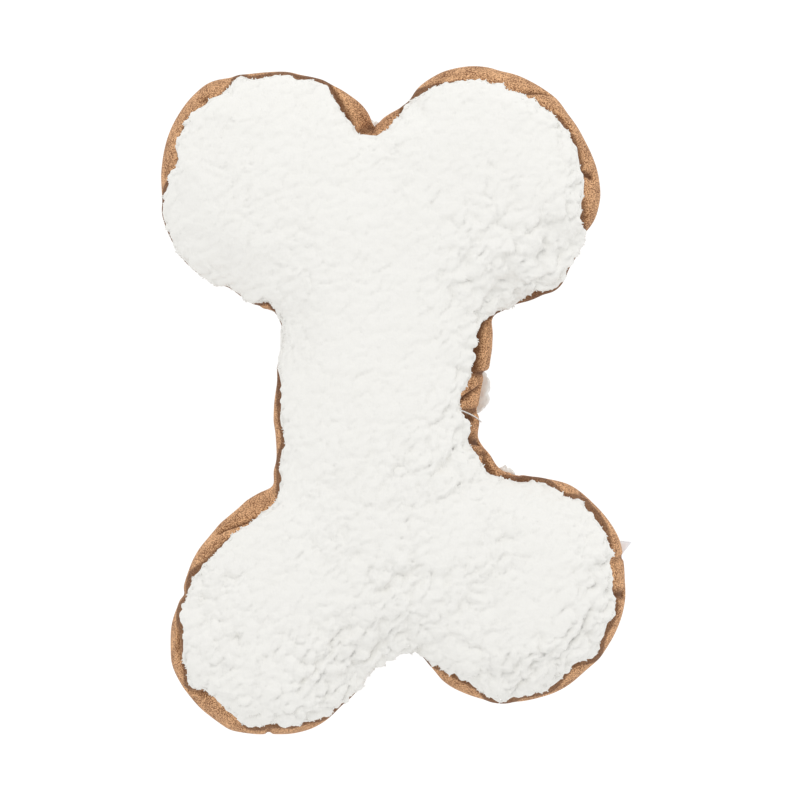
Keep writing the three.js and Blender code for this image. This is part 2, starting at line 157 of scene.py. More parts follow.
scene = bpy.context.scene
scene.view_settings.view_transform = "Standard"
scene.world = scene.world or bpy.data.worlds.new("walls")
scene.world.use_nodes = True
walls = scene.world.node_tree.nodes["Background"]
walls.inputs["Color"].default_value = WHITE
walls.inputs["Strength"].default_value = WALL_LIGHT

soft_box_light = bpy.data.lights.new("soft_box", "AREA")
soft_box_light.size = SOFT_BOX_SIZE
soft_box_light.energy = SOFT_BOX_POWER
soft_box = bpy.data.objects.new("soft_box", soft_box_light)
soft_box.location = SOFT_BOX_PLACE
soft_box.rotation_euler = (-SOFT_BOX_PLACE).to_track_quat("-Z", "Y").to_euler()
scene.collection.objects.link(soft_box)

camera_eye = bpy.data.cameras.new("camera")
camera_eye.lens = LENS
camera = bpy.data.objects.new("camera", camera_eye)
camera_height = PICTURE_WIDTH * LENS / camera_eye.sensor_width
camera.location = PICTURE_MIDDLE + Vector((0, 0, camera_height))
scene.collection.objects.link(camera)
scene.camera = camera

# Back panel
# White sherpa fleece cut as a bone, sewn to the edge band with its pile out and pressed flat where it lies.
# Uneven sewing lets it roll out past the band in the upper notch, at both waists and at the upper right.

WELD = 0.01 * MM
LEVEL = 0.02 * MM
BAND_WALL = 1.2 * MM
# An edge no longer than this runs through the band's wall, and not along it.
THROUGH_WALL = 1.1 * BAND_WALL
EDGE_STEP = 0.95 * MM
EDGE_SOFTENING = 4

# Round the toy from the join in the upper notch, by way of the upper left lobe, in millimetres:
# distance along the band, how far its face leans out of the pattern, how much shows past the front pile.
EDGE = [
    (0, -0.5, 5.1), (3.5, 2.5, 5.5), (7.5, 3, 6.5), (12, 1.8, 4), (16, 1.4, 2.2), (19, 0.5, -0.5),
    (24, 0, 0.8), (29, -0.5, 2.2), (33.5, -0.5, 1.4), (40.5, -1, 2.2), (47, -1, 3), (51, -1, 0.7),
    (53, -1, 0), (56, -0.5, 3.5), (61, 1, 5.5), (64.5, 1.5, 6), (70.5, 1, 5.8), (78, 0, 4.2),
    (86, -0.5, 4.5), (93, -1, 5), (99.5, -1.5, 6.4), (105.5, -2, 2.8), (111, -2.1, 1.5),
    (116, -2.6, -2), (124, -1.5, -1.2), (133, -1.4, -2.7), (149, -1.4, -2.7), (154, -2.2, -2.3),
    (160, 0.4, -2.4), (165, 2, -1.8), (170, 2.9, 4.2), (173, -1.2, -0.6), (181, -5, -2.4),
    (187, -4.8, -2.4), (194, -3.2, -1.8), (200, -1.5, 1.6), (212.5, 0.8, 3), (220.5, -0.5, 3),
    (226.5, -2, 0.5), (230, -1.5, 2.4), (235, -4, 2), (238.5, -0.5, 6), (244, 2, 6.5), (250.5, 2.5, 6),
    (257.5, 2, 5), (265.5, 0, 4.5), (271.5, -1.4, 3.8), (278, -2.7, 1.5), (286.5, -3.5, 2.4),
    (292, -3.5, 1), (300, -1.5, 3.5), (305, -0.5, 4.5), (313, 1, 4.5), (319, 1, 3.5), (324, 1, 1.5),
    (328, 1, 5.5), (337, 1.4, 6.3), (345, 2.5, 5.6), (351, 1.3, 2.8), (358.5, 0.4, 3), (361.5, 0.5, 4),
    (366.5, 0.7, 3.4), (374, 0.3, 3.4), (380.5, -0.8, 1.3), (388.5, -2.5, 0), (394.5, -2.4, -0.7),
    (400, -2.2, -0.8), (406, -2.5, -0.9), (415, -2.6, -0.8), (420, -3.8, 0), (426.5, -1, 1.6),
    (433, 0.5, 4), (441, 0.5, 4), (447.5, 0.5, 3.5), (451.5, 0.4, -0.2), (458, 0.2, -0.7),
    (463, 0.5, 2.6), (475, 0.5, 2), (482, 0.2, 4), (488, -0.2, 4.6), (496, -0.2, 1), (503, 0, 3.5),
    (513, 0.2, 3.2), (520, 0.2, 3.4), (526, -0.2, 5.2), (533.5, 0.3, 5.2), (540, 1, 4), (548, 0.5, 2.5),
    (557.5, 0, 2), (561.5, 0.2, 1.2), (568, -0.3, 4), (576, -1.8, 1), (583.5, -2.1, 1.3),
    (587.5, -1.9, 1.7), (592, -3.2, 2), (597.5, -0.5, 5.5), (601, -2, 3.5), (606, -3.4, 4.7),
    (610, -1.4, 3.2), (614, -2, 6), (621, -0.8, 6.4), (625.5, -0.2, 4.2), (628.5, 2, 5),
    (636.5, 2.7, 5.8), (643, 2, 6), (647, 0.2, 1.8), (651, -2.1, -2.6), (657, -2.2, -2.2),
    (661, -0.5, -0.3), (666, 0.4, 1.4), (671, -0.2, -3.2), (675, -0.4, -3.4), (681, -2.2, -2.6),
    (690, -2.6, -2.4), (694.5, -1.9, -1.2), (696.5, -1, 2.8), (701.5, 0.5, 4), (709.5, 1.3, 6.2),
    (720, 0.6, 4.6), (731.5, -0.2, 4), (741.5, -0.5, 4), (748, 0.5, 5.5), (756, 0.2, 6.4),
    (771, -0.5, 5.7), (776, 0.5, 5.7), (781, 0.5, 5.5), (792, -0.5, 4.5), (797, -1.5, 3.5),
    (802, -2.5, 2.5), (805, -3.5, 1), (809, -6.6, -1), (814, -4.7, 0.7), (816, -2.5, 3.6),
    (821, 0.9, 6.2), (824.7, 0.6, 5.4),
]
# Where the back panel rolls out past the band: distance along, how far it comes out, and its reach.
BACK_ROLLS = [(0.5, 2.4, 3), (172, 0.5, 4), (590, 2.2, 5), (621, 4.8, 8.3), (709, 1, 9), (824.2, 2.4, 3)]
ROLL_FLATNESS = 4

# The upper notch is sewn off its pattern, and further to the left at the front.
NOTCH_SHIFT = np.array([2.8, -3.0]) * MM
NOTCH_REACH = 9 * MM
NOTCH_SLANT = np.array([-1.6, 0]) * MM
# A panel's rim rolls over the band or draws back from it: what the pattern shows of the band, how far in
# from the edge the rim moves as one, how far the move and the band's lean reach, how far the rim droops.
RIM_INSET = 3.6 * MM
RIM_FLAT = 7 * MM
RIM_REACH = 20 * MM
LEAN_REACH = 24 * MM
DROOP = 0.8

# A panel's mesh, and the pressure that fills it where its slope isn't held by the seam.
PANEL_VOXEL = 3.0 * MM
PANEL_SUBDIVISIONS = 2
PUFF_PRESSURE = 4
PUFF_FRAMES = 20
PUFF_CAP = 3 * MM
HELD_SLOPE = 0.1
RELAX_TURNS = 6

# The pile stands in clumps that carry curls: their width and height, how softly they meet, how they lap.
CLUMP_SIZE = 7.5 * MM
CLUMP = 3.9 * MM
CLUMP_MEAN = 0.85
CLUMP_SOFTNESS = 0.7
RUFFLE_SHARPNESS = 0.45
CURL_SIZE = 3.2 * MM
CURL = 2.4 * MM
CURL_SOFTNESS = 0.4
CALM_CURL = 0.22
LIE = Vector((0.7, -0.7, 0))
LAP = 0.6
LAP_EDGE = 2
SWAY_SIZE = 7 * MM
SWAY = 2.4 * MM
SWAY_OCTAVES = 2
FUZZ_SIZE = 1.5 * MM
FUZZ = 0.25 * MM
LUMP_SIZE = 38 * MM
LUMP = 0.8 * MM
# It is calm in some patches and ruffled in others, most of all towards the lower right and on the rim.
CALM = 0.18
PATCH_SIZE = 24 * MM
PATCH_SHIFT = Vector((19, 14, 0))
PATCH = 0.6
RUFFLE_SPAN = 650 * MM
RIM_RUFFLE = 0.75
LEAST_RUFFLE = 0.1
MOST_RUFFLE = 0.85
# It parts where one clump laps over the next, in short stretches, and is greyed there as painted shade.
CLUMP_PARTING_FALL = 2
CURL_PARTING = 0.7
CURL_PARTING_FALL = 3
CALM_PARTING = 0.1
PARTING_SHARE = 0.4
PARTING_BREAKS = 1.6
# It covers a panel's face and ends where the rim turns under, at these slopes.
PILE_END = -0.7
PILE_FADE = 0.6
PILE_SEED = 5

PILE_CREAM = (0.85, 0.84, 0.805, 1)
PILE_WHITE = (0.87, 0.862, 0.83, 1)
# The grey of the partings is painted shade.
PARTING_SHADE_GREY = (0.74, 0.72, 0.69, 1)
NOISE_MEAN = 0.5
FIBRE_SHADE = 0.35
FIBRE_BUMP = 0.4
CURL_BEND = 5 * MM

band_low, band_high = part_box("edge_band")
band_middle = (band_low.z + band_high.z) / 2
band_half = (band_high.z - band_low.z) / 2


def welded(node):
    """A bmesh of a CAD node with its loose triangles joined."""
    shape = bmesh.new()
    shape.from_mesh(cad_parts[node].data)
    bmesh.ops.remove_doubles(shape, verts=shape.verts, dist=WELD)
    return shape


def chain_from(start, ring):
    """The vertices along a ring's edges, from one of its ends to the other."""
    chain = [start]
    while True:
        ahead = [e.other_vert(chain[-1]) for e in chain[-1].link_edges if e in ring]
        ahead = [v for v in ahead if v not in chain[-2:]]
        if not ahead:
            return chain
        chain.append(ahead[0])


def widest_line():
    """Plan points of the band's face at mid-height, from one end of the strip to the other."""
    shape = welded("edge_band")
    level = {v for v in shape.verts if abs(v.co.z - band_middle) < LEVEL}
    ring = {e for e in shape.edges if level.issuperset(e.verts) and e.calc_length() > THROUGH_WALL}
    ends = [v for v in level if sum(e in ring for e in v.link_edges) == 1]
    outer_end = max(ends, key=lambda v: (round(v.co.y / BAND_WALL), -v.co.x))
    points = [v.co.xy.to_3d() for v in chain_from(outer_end, ring)]
    shape.free()
    return points


def rounded(points):
    """A round line through points, close-set."""
    ways = [(q - p).normalized() for p, q in zip(points, points[1:])]
    tangents = [(a + b).normalized() for a, b in zip([ways[0], *ways], [*ways, ways[-1]])]
    line = []
    for p, q, start, end in zip(points, points[1:], tangents, tangents[1:]):
        span = (q - p).length
        steps = max(2, round(span / EDGE_STEP)) + 1
        line += interpolate_bezier(p, p + start * span / 3, q - end * span / 3, q, steps)[:-1]
    return np.array([*line, points[-1]])[:, :2]


def soften(values):
    """Values along the edge with their corners rounded off."""
    for _ in range(EDGE_SOFTENING):
        padded = np.pad(values, 1, mode="edge")
        values = (padded[:-2] + 2 * values + padded[2:]) / 4
    return values


def ease(share):
    """A soft step from 0 to 1."""
    share = np.clip(share, 0, 1)
    return share * share * (3 - 2 * share)


edge = rounded(widest_line())
edge_ways = np.gradient(edge, axis=0)
edge_ways /= np.linalg.norm(edge_ways, axis=1)[:, None]
outward = np.stack([edge_ways[:, 1], -edge_ways[:, 0]], axis=1)
along = np.concatenate([[0], np.cumsum(np.linalg.norm(np.diff(edge, axis=0), axis=1))])
edge_near = kdtree.KDTree(len(edge))
for index, (x, y) in enumerate(edge):
    edge_near.insert((x, y, 0), index)
edge_near.balance()

stations, leans, shows = np.array(EDGE).T * MM
lean = soften(np.interp(along, stations, leans))
front_rim = soften(np.interp(along, stations, shows))
back_spread = np.zeros(len(edge))
for place, out, reach in np.array(BACK_ROLLS) * MM:
    back_spread += (RIM_INSET + out) * np.exp(-(((along - place) / reach) ** ROLL_FLATNESS))


def at_rim(inset):
    """How far places belong to a panel's rim, from 0 to 1."""
    return ease((RIM_REACH - inset) / (RIM_REACH - RIM_FLAT))


def on_pattern(points):
    """The nearest place on the edge to each point, and how far inside it the point lies."""
    at = np.array([edge_near.find((x, y, 0))[1] for x, y, _ in points])
    return at, np.einsum("ij,ij->i", edge[at] - points[:, :2], outward[at])


def dressed(points):
    """Points of the pattern, moved to where this toy's uneven sewing and stuffing put them."""
    at, inset = on_pattern(points)
    height = ease((points[:, 2] - band_middle) / band_half)
    roll = (RIM_INSET - front_rim[at]) * height * at_rim(inset)
    leaning = lean[at] * ease((LEAN_REACH - inset) / LEAN_REACH)
    from_notch = np.linalg.norm(points[:, :2] - edge[0], axis=1)
    moved = points.copy()
    moved[:, :2] += outward[at] * (leaning + roll)[:, None]
    notch = np.exp(-((from_notch / NOTCH_REACH) ** 2))[:, None]
    moved[:, :2] += (NOTCH_SHIFT + NOTCH_SLANT * height[:, None]) * notch
    moved[:, 2] -= DROOP * roll
    return moved


def points_of(mesh, what="co"):
    """The places of a mesh's points, or their normals."""
    values = np.zeros(3 * len(mesh.vertices))
    mesh.vertices.foreach_get(what, values)
    return values.reshape(-1, 3)


def place_points(mesh, points):
    """Moves a mesh's points to new places."""
    mesh.vertices.foreach_set("co", points.ravel())
    mesh.update()


def write_values(mesh, name, values):
    """Keeps a number for each point of a mesh, for its material."""
    mesh.attributes.new(name, "FLOAT", "POINT").data.foreach_set("value", values)


def shade_round(piece):
    """Shades a piece's faces as one round surface."""
    piece.data.polygons.foreach_set("use_smooth", np.ones(len(piece.data.polygons), dtype=bool))


def settle(piece):
    """Makes a piece's modifiers part of its mesh."""
    graph = bpy.context.evaluated_depsgraph_get()
    mesh = bpy.data.meshes.new_from_object(piece.evaluated_get(graph))
    piece.modifiers.clear()
    piece.data = mesh


def remesh(piece, voxel):
    """Gives a piece a new mesh of even faces."""
    even = piece.modifiers.new("even", "REMESH")
    even.mode = "VOXEL"
    even.voxel_size = voxel
    settle(piece)


def subdivide(piece, levels):
    """Divides a piece's faces and rounds them."""
    smooth = piece.modifiers.new("smooth", "SUBSURF")
    smooth.levels = levels
    smooth.render_levels = levels
    settle(piece)


def relax(piece):
    """Evens out a piece where its sewing pulls it sharply."""
    even = piece.modifiers.new("relax", "SMOOTH")
    even.iterations = RELAX_TURNS
    settle(piece)


def puff(piece, held):
    """Fills a padded piece by cloth pressure, with some points held and the rest kept within a cap."""
    rest = points_of(piece.data)
    pins = piece.vertex_groups.new(name="held")
    pins.add(held, 1, "REPLACE")
    cloth = piece.modifiers.new("puff", "CLOTH")
    cloth.point_cache.frame_end = PUFF_FRAMES
    cloth.settings.vertex_group_mass = pins.name
    cloth.settings.use_pressure = True
    cloth.settings.uniform_pressure_force = PUFF_PRESSURE
    cloth.settings.effector_weights.gravity = 0
    for step in range(1, PUFF_FRAMES + 1):
        scene.frame_set(step)
    settle(piece)
    scene.frame_set(1)
    move = points_of(piece.data) - rest
    length = np.linalg.norm(move, axis=1)
    move *= np.minimum(1, PUFF_CAP / np.maximum(length, WELD))[:, None]
    place_points(piece.data, rest + move)
    piece.vertex_groups.clear()


noise.seed_set(PILE_SEED)


def clumps(point, softness):
    """Height of clumps at a point, each lapping over the next, and how far the point is tucked under."""
    (nearest, next_nearest), (own, other) = (values[:2] for values in noise.voronoi(point))
    crease = max(0, 1 - (next_nearest - nearest) / softness)
    # A smooth least of the two distances, which rounds the crease
    reach = nearest - softness * crease * crease / 4
    lap = (point - own.lerp(other, crease ** LAP_EDGE / 2)).dot(LIE)
    tucked = crease * max(0, (own - other).normalized().dot(LIE))
    return 1 - reach * reach + LAP * lap, tucked


def pile_at(point, normal):
    """Rise of the pile over its backing at a point, the painted shade of its parting there, and how ruffled
    it is.
    """
    swayed = point + SWAY * noise.turbulence_vector(point / SWAY_SIZE, SWAY_OCTAVES, False)
    ruffled = CALM + point.dot(LIE) / RUFFLE_SPAN + PATCH * noise.noise(point / PATCH_SIZE + PATCH_SHIFT)
    ruffled = max(LEAST_RUFFLE, RIM_RUFFLE * (1 - abs(normal.z)), ruffled + max(0, normal.dot(LIE)))
    ruffled = min(MOST_RUFFLE, ruffled)
    clump, tucked = clumps(swayed / CLUMP_SIZE, CLUMP_SOFTNESS - RUFFLE_SHARPNESS * ruffled)
    curl, tucked_curl = clumps(swayed / CURL_SIZE, CURL_SOFTNESS)
    rise = CLUMP * ruffled * (clump - CLUMP_MEAN)
    rise += CURL * (CALM_CURL + (1 - CALM_CURL) * ruffled) * (curl - CLUMP_MEAN)
    rise += FUZZ * noise.noise(point / FUZZ_SIZE) + LUMP * noise.noise(point / LUMP_SIZE)
    # Painted shade in the partings, just below the lower right edge of each lapping clump, more where it is
    # ruffled.
    parting_shade = max(tucked ** CLUMP_PARTING_FALL, CURL_PARTING * tucked_curl ** CURL_PARTING_FALL)
    parting_shade *= CALM_PARTING + (1 - CALM_PARTING) * ruffled
    parting_shade *= min(1, max(0, PARTING_SHARE + PARTING_BREAKS * noise.noise(point / SWAY_SIZE)))
    return rise, parting_shade, ruffled


def grow_pile(piece, side, spread):
    """Raises clumps and curls on a panel's outer face and rim, over the lumps of the stuffing."""
    points = points_of(piece.data)
    at, inset = on_pattern(points)
    rolled = spread[at] * at_rim(inset)
    points = dressed(points)
    points[:, :2] += outward[at] * rolled[:, None]
    place_points(piece.data, points)
    relax(piece)
    mesh = piece.data
    points = points_of(mesh)
    normals = points_of(mesh, "normal")
    pile = np.array([pile_at(Vector(p), Vector(n)) for p, n in zip(points, normals)])
    cover = np.maximum(ease((side * normals[:, 2] - PILE_END) / PILE_FADE), ease(rolled / RIM_INSET))
    points += normals * (pile[:, 0] * cover)[:, None]
    points[:, 2] = np.maximum(points[:, 2], 0)
    place_points(mesh, points)
    write_values(mesh, "parting_shade", pile[:, 1] * cover)
    write_values(mesh, "ruffled", pile[:, 2])
    shade_round(piece)


def sherpa_pile(paint):
    """White pile of fine fibres and small curls, with painted shade where it parts."""
    place = paint.node("ShaderNodeTexCoord", {}, {}, "Object")
    parting_shade = paint.node("ShaderNodeAttribute", {"attribute_name": "parting_shade"}, {}, "Fac")
    ruffled = paint.node("ShaderNodeAttribute", {"attribute_name": "ruffled"}, {}, "Fac")
    fibres = paint.node("ShaderNodeTexNoise", {}, {"Vector": place, "Scale": 1300.0, "Detail": 3.0})
    cloud = paint.node("ShaderNodeTexNoise", {}, {"Vector": place, "Scale": 45.0, "Detail": 2.0})
    wave = paint.node("ShaderNodeTexNoise", {}, {"Vector": place, "Scale": 240.0, "Detail": 2.0}, "Color")
    bent = paint.node(
        "ShaderNodeVectorMath",
        {"operation": "MULTIPLY_ADD"},
        {0: wave, 1: (CURL_BEND, CURL_BEND, CURL_BEND), 2: place},
    )
    curls = paint.node("ShaderNodeTexVoronoi", {}, {"Vector": bent, "Scale": 300.0}, "Distance")
    white = paint.mixed(cloud, PILE_CREAM, PILE_WHITE)
    # Painted shade of the partings, with the fibres' own uneven tone.
    shade = paint.node(
        "ShaderNodeMapRange",
        {"interpolation_type": "SMOOTHSTEP"},
        {"Value": parting_shade + FIBRE_SHADE * (fibres - NOISE_MEAN), "From Min": 0.05, "From Max": 0.85},
    )
    bump = paint.node(
        "ShaderNodeBump",
        {},
        {"Height": FIBRE_BUMP * fibres - ruffled * curls, "Strength": 0.5, "Distance": 0.9 * MM},
    )
    return {
        "Base Color": paint.mixed(shade, white, PARTING_SHADE_GREY),
        "Roughness": 0.95,
        "Specular IOR Level": 0.15,
        "Sheen Weight": 0.1,
        "Normal": bump,
    }


sherpa = finish_of("sherpa", sherpa_pile)


def sherpa_panel(name, node, side, spread):
    """A padded sherpa panel from its CAD solid, spread at its rim.

    Its side is 1 where its pile faces up and -1 where it faces down.
    """
    piece = new_piece(name, welded(node))
    remesh(piece, PANEL_VOXEL)
    puff(piece, [v.index for v in piece.data.vertices if side * v.normal.z < HELD_SLOPE])
    subdivide(piece, PANEL_SUBDIVISIONS)
    grow_pile(piece, side, spread)
    piece.data.materials.append(sherpa)
    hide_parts(node)
    return piece


back_sherpa = sherpa_panel("back_sherpa", "back_panel", -1, back_spread)
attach(back_sherpa, "back")

# Edge band
# One strip of tan suede cloth round the toy, sewn between the two panels with its edges turned in.
# The stuffing bulges it, its ends meet in the upper notch, and tight sewing gathers it at the right waist.

BAND_BULGE = 6.5 * MM
SEAM_ALLOWANCE = 6 * MM
BAND_ROWS = 47
HEM_ROWS = 3
END_PLACES = 5
END_STEP = 1 * MM
CLOTH_THICKNESS = 1.0 * MM
PUCKER_PITCH = 5.5 * MM
PUCKER = 0.6 * MM
BAND_WAVE_SIZE = 16 * MM
BAND_WAVE = 0.6 * MM
# Creases in millimetres: distance along and height over the widest line at both ends, depth, half width.
CREASES = [
    (16, 11, 5, 15, 1.6, 2.4), (2, 18, 0, 4, 1.2, 1.2),
    (66, 17, 68, 13, 1, 1.5), (101, 15, 102, 8, 0.8, 1.2),
    (259, 9, 244, 16, 1.8, 0.8), (244, 16, 237, 18, 1.6, 1),
    (287, -6, 287, 14, 1, 2), (302, 13, 312, 13, 1.4, 1.2), (324, 8, 331, 16, 1.4, 1),
    (358.5, -10, 358.5, 14, 1, 0.9), (521, 6, 521, 15, 1.6, 1.8), (534.5, -4, 534.5, 14, 0.8, 0.8),
    (562, 0, 562, 16, 1, 1.4), (587.5, -4, 587.5, 16, 1.5, 1.3), (597, 9, 593, 15, 1.6, 2),
    (601, 16, 599, 4, 1.4, 0.9), (606, 18, 603, 0, 2, 1.5), (612.5, 9, 611.5, 17, 2.4, 2),
    (614.5, -2, 614.5, 18, 1.4, 1), (617, 18, 624, 3, 1.9, 0.8), (627.5, -5, 627, 18, 1.6, 1.2),
    (629, 14.5, 645, 13.5, 2.2, 3.2), (699, 13, 706, 15, 1.5, 1), (718, 17, 716, 10, 1.8, 1.4),
    (745, 14, 736, 14, 1.5, 1), (762, 17, 752, 6, 1.6, 0.8), (818, 16, 812, 12, 1.2, 1.2),
]
# Painted shade on the band, darkest in deep creases, and just under the front pile's rim where the pile
# overhangs it.
CREASE_DARK = 1.8 * MM
CREASE_EDGE = 1.25
CREASE_FADE = 0.75
RIM_SHADE = 0.8
RIM_SHADE_REACH = 2.0 * MM
PUCKER_START = 0.7
FACE_END = 1.001

SUEDE_FLECK = (0.17, 0.062, 0.019, 1)
SUEDE_TAN = (0.85, 0.495, 0.26, 1)
# The colour and share of the painted shade in the creases and under the front pile's rim.
SUEDE_PAINTED_SHADE = (0.1, 0.036, 0.013, 1)
SUEDE_MOTTLE = 0.3
PAINTED_SHADE_SHARE = 0.92

bulge_radius = (band_half ** 2 + BAND_BULGE ** 2) / (2 * BAND_BULGE)
bulge_swing = math.asin(band_half / bulge_radius)
seam_height = bulge_radius * bulge_swing


def band_rows():
    """Inset, level and height over the widest line of each row, from the back hem to the front hem."""
    rows = []
    for angle in np.linspace(-bulge_swing, bulge_swing, BAND_ROWS):
        inset = bulge_radius * (1 - math.cos(angle))
        rows.append((inset, band_middle + bulge_radius * math.sin(angle), bulge_radius * angle))
    for turn in range(1, HEM_ROWS + 1):
        hem = SEAM_ALLOWANCE * turn / HEM_ROWS
        rows.insert(0, (BAND_BULGE + hem, band_low.z, -seam_height - hem))
        rows.append((BAND_BULGE + hem, band_high.z, seam_height + hem))
    return np.array(rows)


def creased(distance, height):
    """How deep the creases are at places on the band, and how much painted shade they get."""
    depth = np.zeros_like(distance)
    dark = np.zeros_like(distance)
    for start, low, end, high, deep, half in np.array(CREASES) * MM:
        run = np.array([end - start, high - low])
        offset = np.stack([distance - start, height - low], axis=-1)
        share = np.clip(offset @ run / (run @ run), 0, 1)
        away = np.linalg.norm(offset - share[..., None] * run, axis=-1) / half
        depth = np.maximum(depth, deep * np.exp(-(away ** 2)))
        dark = np.maximum(dark, min(1, deep / CREASE_DARK) * ease((CREASE_EDGE - away) / CREASE_FADE))
    return depth, dark


def gathered_band():
    """Rows of points of the puckered, creased band, with their normals, painted shade and distances along
    it.
    """
    insets, levels, heights = band_rows().T
    plan = edge - outward * insets[:, None, None]
    turned_in = END_STEP * np.arange(1, END_PLACES + 1)
    ends = (plan[:, :1] + plan[:, -1:]) / 2 - (outward[0] + outward[-1]) / 2 * turned_in[:, None]
    plan = np.concatenate([ends[:, ::-1], plan, ends], axis=1)
    distances = np.concatenate([-turned_in[::-1], along, along[-1] + turned_in])
    upright = np.broadcast_to(levels[:, None, None], (*plan.shape[:2], 1))
    pattern = np.concatenate([plan, upright], axis=2)
    face = dressed(pattern.reshape(-1, 3)).reshape(pattern.shape)
    normals = np.cross(np.gradient(face, axis=1), np.gradient(face, axis=0))
    normals /= np.linalg.norm(normals, axis=2)[..., None]
    distance, height = np.meshgrid(distances, heights)
    depth, dark = creased(distance, height)
    shown = np.maximum(np.pad(front_rim, END_PLACES, mode="edge"), 0)
    rim = bulge_radius * np.arccos(1 - shown / bulge_radius)
    # Painted shade just under the front pile's rim.
    dark = np.maximum(dark, RIM_SHADE * ease((height - rim) / RIM_SHADE_REACH + 1))
    share = np.abs(height) / seam_height
    seam = ease((share - PUCKER_START) / (1 - PUCKER_START))
    waves = np.array([noise.noise(Vector(p) / BAND_WAVE_SIZE) for p in face.reshape(-1, 3)])
    puckers = [noise.noise(Vector((d / PUCKER_PITCH, side, 0))) for side in (-1, 1) for d in distances]
    puckers = np.array(puckers).reshape(2, -1)[(heights > 0).astype(int)]
    rise = BAND_WAVE * waves.reshape(share.shape) + PUCKER * seam * puckers - depth
    rise *= share < FACE_END
    return face + normals * rise[..., None], normals, dark, distances


def woven(rows, shades=None):
    """A strip of cloth, extruded from each row of points to the next and facing as the rows climb."""
    strip = bmesh.new()
    place = strip.verts.layers.int.new("place")
    # Painted shade at each point, for the band's material.
    shade = strip.verts.layers.float.new("painted_shade")
    verts = [strip.verts.new(point) for point in rows[0]]
    for index, vert in enumerate(verts):
        vert[place] = index
    edges = [strip.edges.new(pair) for pair in zip(verts, verts[1:])]
    for number, row in enumerate(rows):
        if number:
            made = bmesh.ops.extrude_edge_only(strip, edges=edges)["geom"]
            verts = [g for g in made if isinstance(g, bmesh.types.BMVert)]
            fresh = set(verts)
            edges = [g for g in made if isinstance(g, bmesh.types.BMEdge) and fresh.issuperset(g.verts)]
        for vert in verts:
            vert.co = row[vert[place]]
            if shades is not None:
                vert[shade] = shades[number][vert[place]]
    strip.normal_update()
    row, place = len(rows) // 2, len(rows[0]) // 2
    middle = Vector(rows[row][place])
    beside = Vector(rows[row][place + 1]) - middle
    over = Vector(rows[row + 1][place]) - middle
    facing = min(strip.verts, key=lambda v: (v.co - middle).length_squared).normal
    if facing.dot(beside.cross(over)) < 0:
        bmesh.ops.reverse_faces(strip, faces=strip.faces)
    return strip


def thicken(piece, thickness):
    """Gives a sheet its thickness, on the side away from its face."""
    wall = piece.modifiers.new("wall", "SOLIDIFY")
    wall.thickness = thickness
    wall.offset = -1
    settle(piece)


def suede_cloth(paint):
    """Tan nap with a fine fleck, and painted shade in its creases and under the front pile's rim."""
    place = paint.node("ShaderNodeTexCoord", {}, {}, "Object")
    painted_shade = paint.node("ShaderNodeAttribute", {"attribute_name": "painted_shade"}, {}, "Fac")
    brushed = paint.node("ShaderNodeMapping", {}, {"Vector": place, "Scale": (1, 1, 0.55)})
    fleck = paint.node("ShaderNodeTexNoise", {}, {"Vector": brushed, "Scale": 2200.0, "Detail": 2.0})
    mottle = paint.node("ShaderNodeTexNoise", {}, {"Vector": place, "Scale": 150.0, "Detail": 3.0})
    nap = paint.node(
        "ShaderNodeMapRange",
        {},
        {"Value": fleck + SUEDE_MOTTLE * (mottle - NOISE_MEAN), "From Min": 0.36, "From Max": 0.64},
    )
    tan = paint.mixed(nap, SUEDE_FLECK, SUEDE_TAN)
    bump = paint.node("ShaderNodeBump", {}, {"Height": fleck, "Strength": 0.45, "Distance": 0.3 * MM})
    return {
        # Painted shade in the creases and under the front pile's rim.
        "Base Color": paint.mixed(PAINTED_SHADE_SHARE * painted_shade, tan, SUEDE_PAINTED_SHADE),
        "Roughness": 0.9,
        "Specular IOR Level": 0.15,
        "Sheen Weight": 0.05,
        "Normal": bump,
    }


def follow_squeeze(piece):
    """Bakes a soft piece's place into its mesh."""
    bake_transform(piece)


band_face, band_normals, band_shades, band_distances = gathered_band()
band = new_piece("suede_band", woven(band_face, band_shades))
thicken(band, CLOTH_THICKNESS)
shade_round(band)
band.data.materials.append(finish_of("suede", suede_cloth))
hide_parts("edge_band")
2 * (seam_height + SEAM_ALLOWANCE)
follow_squeeze(band)

# Band join thread
# A line of machine stitches down the inside of the upper notch, where the band's two ends are turned in.
# Like the other sewing it is spun white polyester.

THREAD = 0.5 * MM
STITCH_POINTS = 4
JOIN_STITCH = 3 * MM
JOIN_WAVE = 0.25 * MM
JOIN_DEPTH = 2.6 * MM
JOIN_MARGIN = 3 * MM

THREAD_GREY = (0.74, 0.73, 0.71, 1)
THREAD_WHITE = (0.9, 0.9, 0.89, 1)


def thread_piece(name, points, cyclic=False):
    """A thread along points, as a mesh."""
    path = bpy.data.curves.new(name, "CURVE")
    path.dimensions = "3D"
    path.bevel_depth = THREAD / 2
    path.bevel_resolution = 1
    path.use_fill_caps = True
    line = path.splines.new("POLY")
    line.points.add(len(points) - 1)
    line.points.foreach_set("co", np.pad(points, ((0, 0), (0, 1)), constant_values=1).ravel())
    line.use_cyclic_u = cyclic
    holder = bpy.data.objects.new(name, path)
    mesh = bpy.data.meshes.new_from_object(holder)
    bpy.data.objects.remove(holder)
    piece = bpy.data.objects.new(name, mesh)
    scene.collection.objects.link(piece)
    piece.data.materials.append(thread_finish)
    shade_round(piece)
    return piece


